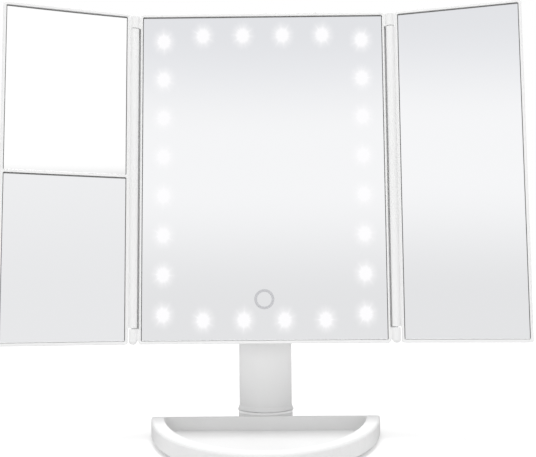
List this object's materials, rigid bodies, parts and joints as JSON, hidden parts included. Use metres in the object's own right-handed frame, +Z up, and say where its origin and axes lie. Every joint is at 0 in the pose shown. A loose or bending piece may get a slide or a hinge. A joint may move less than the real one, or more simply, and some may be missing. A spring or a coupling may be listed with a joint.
{
  "type": "trifold vanity mirror",
  "caption": "Free-standing table mirror with folding wings and a lit centre panel that tilts on a short post over a D-shaped tray.",
  "frame": {"origin": "on the underside of the base, plumb below the tilt axle", "axes": "+Z up, -Y towards the viewer in front of the mirror, +X to the viewer's right"},
  "size_m": [0.3356, 0.1154, 0.2869],
  "materials": {
    "white_housing": "smooth satin-gloss moulded plastic",
    "mirror_glass": "polished silvered glass",
    "lamp": "lit, cool white",
    "circuit_board": "satin solder mask",
    "foam_tape": "matt foam",
    "black_rubber": "matt",
    "bearing_plastic": "waxy",
    "steel": "zinc plated",
    "contact_metal": "nickel plated",
    "cell_jacket": "plain printed sleeve with no lettering"
  },
  "bodies": {
    "base": {"base_tray": "white_housing", "base_plate": "white_housing", "base_pad": "black_rubber", "base_screws": "steel", "post_front_shell": "white_housing", "post_rear_shell": "white_housing", "post_screws": "steel", "tilt_bush": "bearing_plastic"},
    "head": {"center_frame": "white_housing", "center_glass": "mirror_glass", "center_tape": "foam_tape", "led_board": "circuit_board", "leds": "lamp", "touch_board": "circuit_board", "touch_foam": "foam_tape", "control_board": "circuit_board", "usb_socket": "steel", "switch_body": "steel", "back_cover": "white_housing", "back_screws": "steel", "batteries": "cell_jacket", "battery_springs": "contact_metal", "battery_plates": "contact_metal", "tilt_bolt": "steel", "tilt_nut": "steel", "tilt_washers": "black_rubber", "tilt_caps": "white_housing", "hinge_pins": "steel"},
    "left_wing": {"left_wing_shell": "white_housing", "left_upper_mirror": "mirror_glass", "left_lower_mirror": "mirror_glass", "left_wing_tape": "foam_tape"},
    "right_wing": {"right_wing_shell": "white_housing", "right_wing_mirror": "mirror_glass", "right_wing_tape": "foam_tape"},
    "power_switch": {"power_switch": "white_housing"},
    "battery_cover": {"battery_cover": "white_housing"}
  },
  "joints": [
    {"name": "head_tilt", "type": "hinge", "parent": "base", "child": "head", "pos_m": [0, 0, 0.0775], "axis": [-1, 0, 0], "range_deg": [-15, 75]},
    {"name": "left_wing_fold", "type": "hinge", "parent": "head", "child": "left_wing", "pos_m": [-0.08535, -0.00863, 0.17384], "axis": [0, 0.1392, 0.9903], "range_deg": [-20, 160]},
    {"name": "right_wing_fold", "type": "hinge", "parent": "head", "child": "right_wing", "pos_m": [0.08535, -0.00863, 0.17384], "axis": [0, -0.1392, -0.9903], "range_deg": [-15, 165]},
    {"name": "power_switch_slide", "type": "slide", "parent": "head", "child": "power_switch", "axis": [-1, 0, 0], "range_m": [0, 0.003]},
    {"name": "battery_cover_lift", "type": "slide", "parent": "head", "child": "battery_cover", "axis": [0, 0.9903, -0.1392], "range_m": [0, 0.03]}
  ]
}
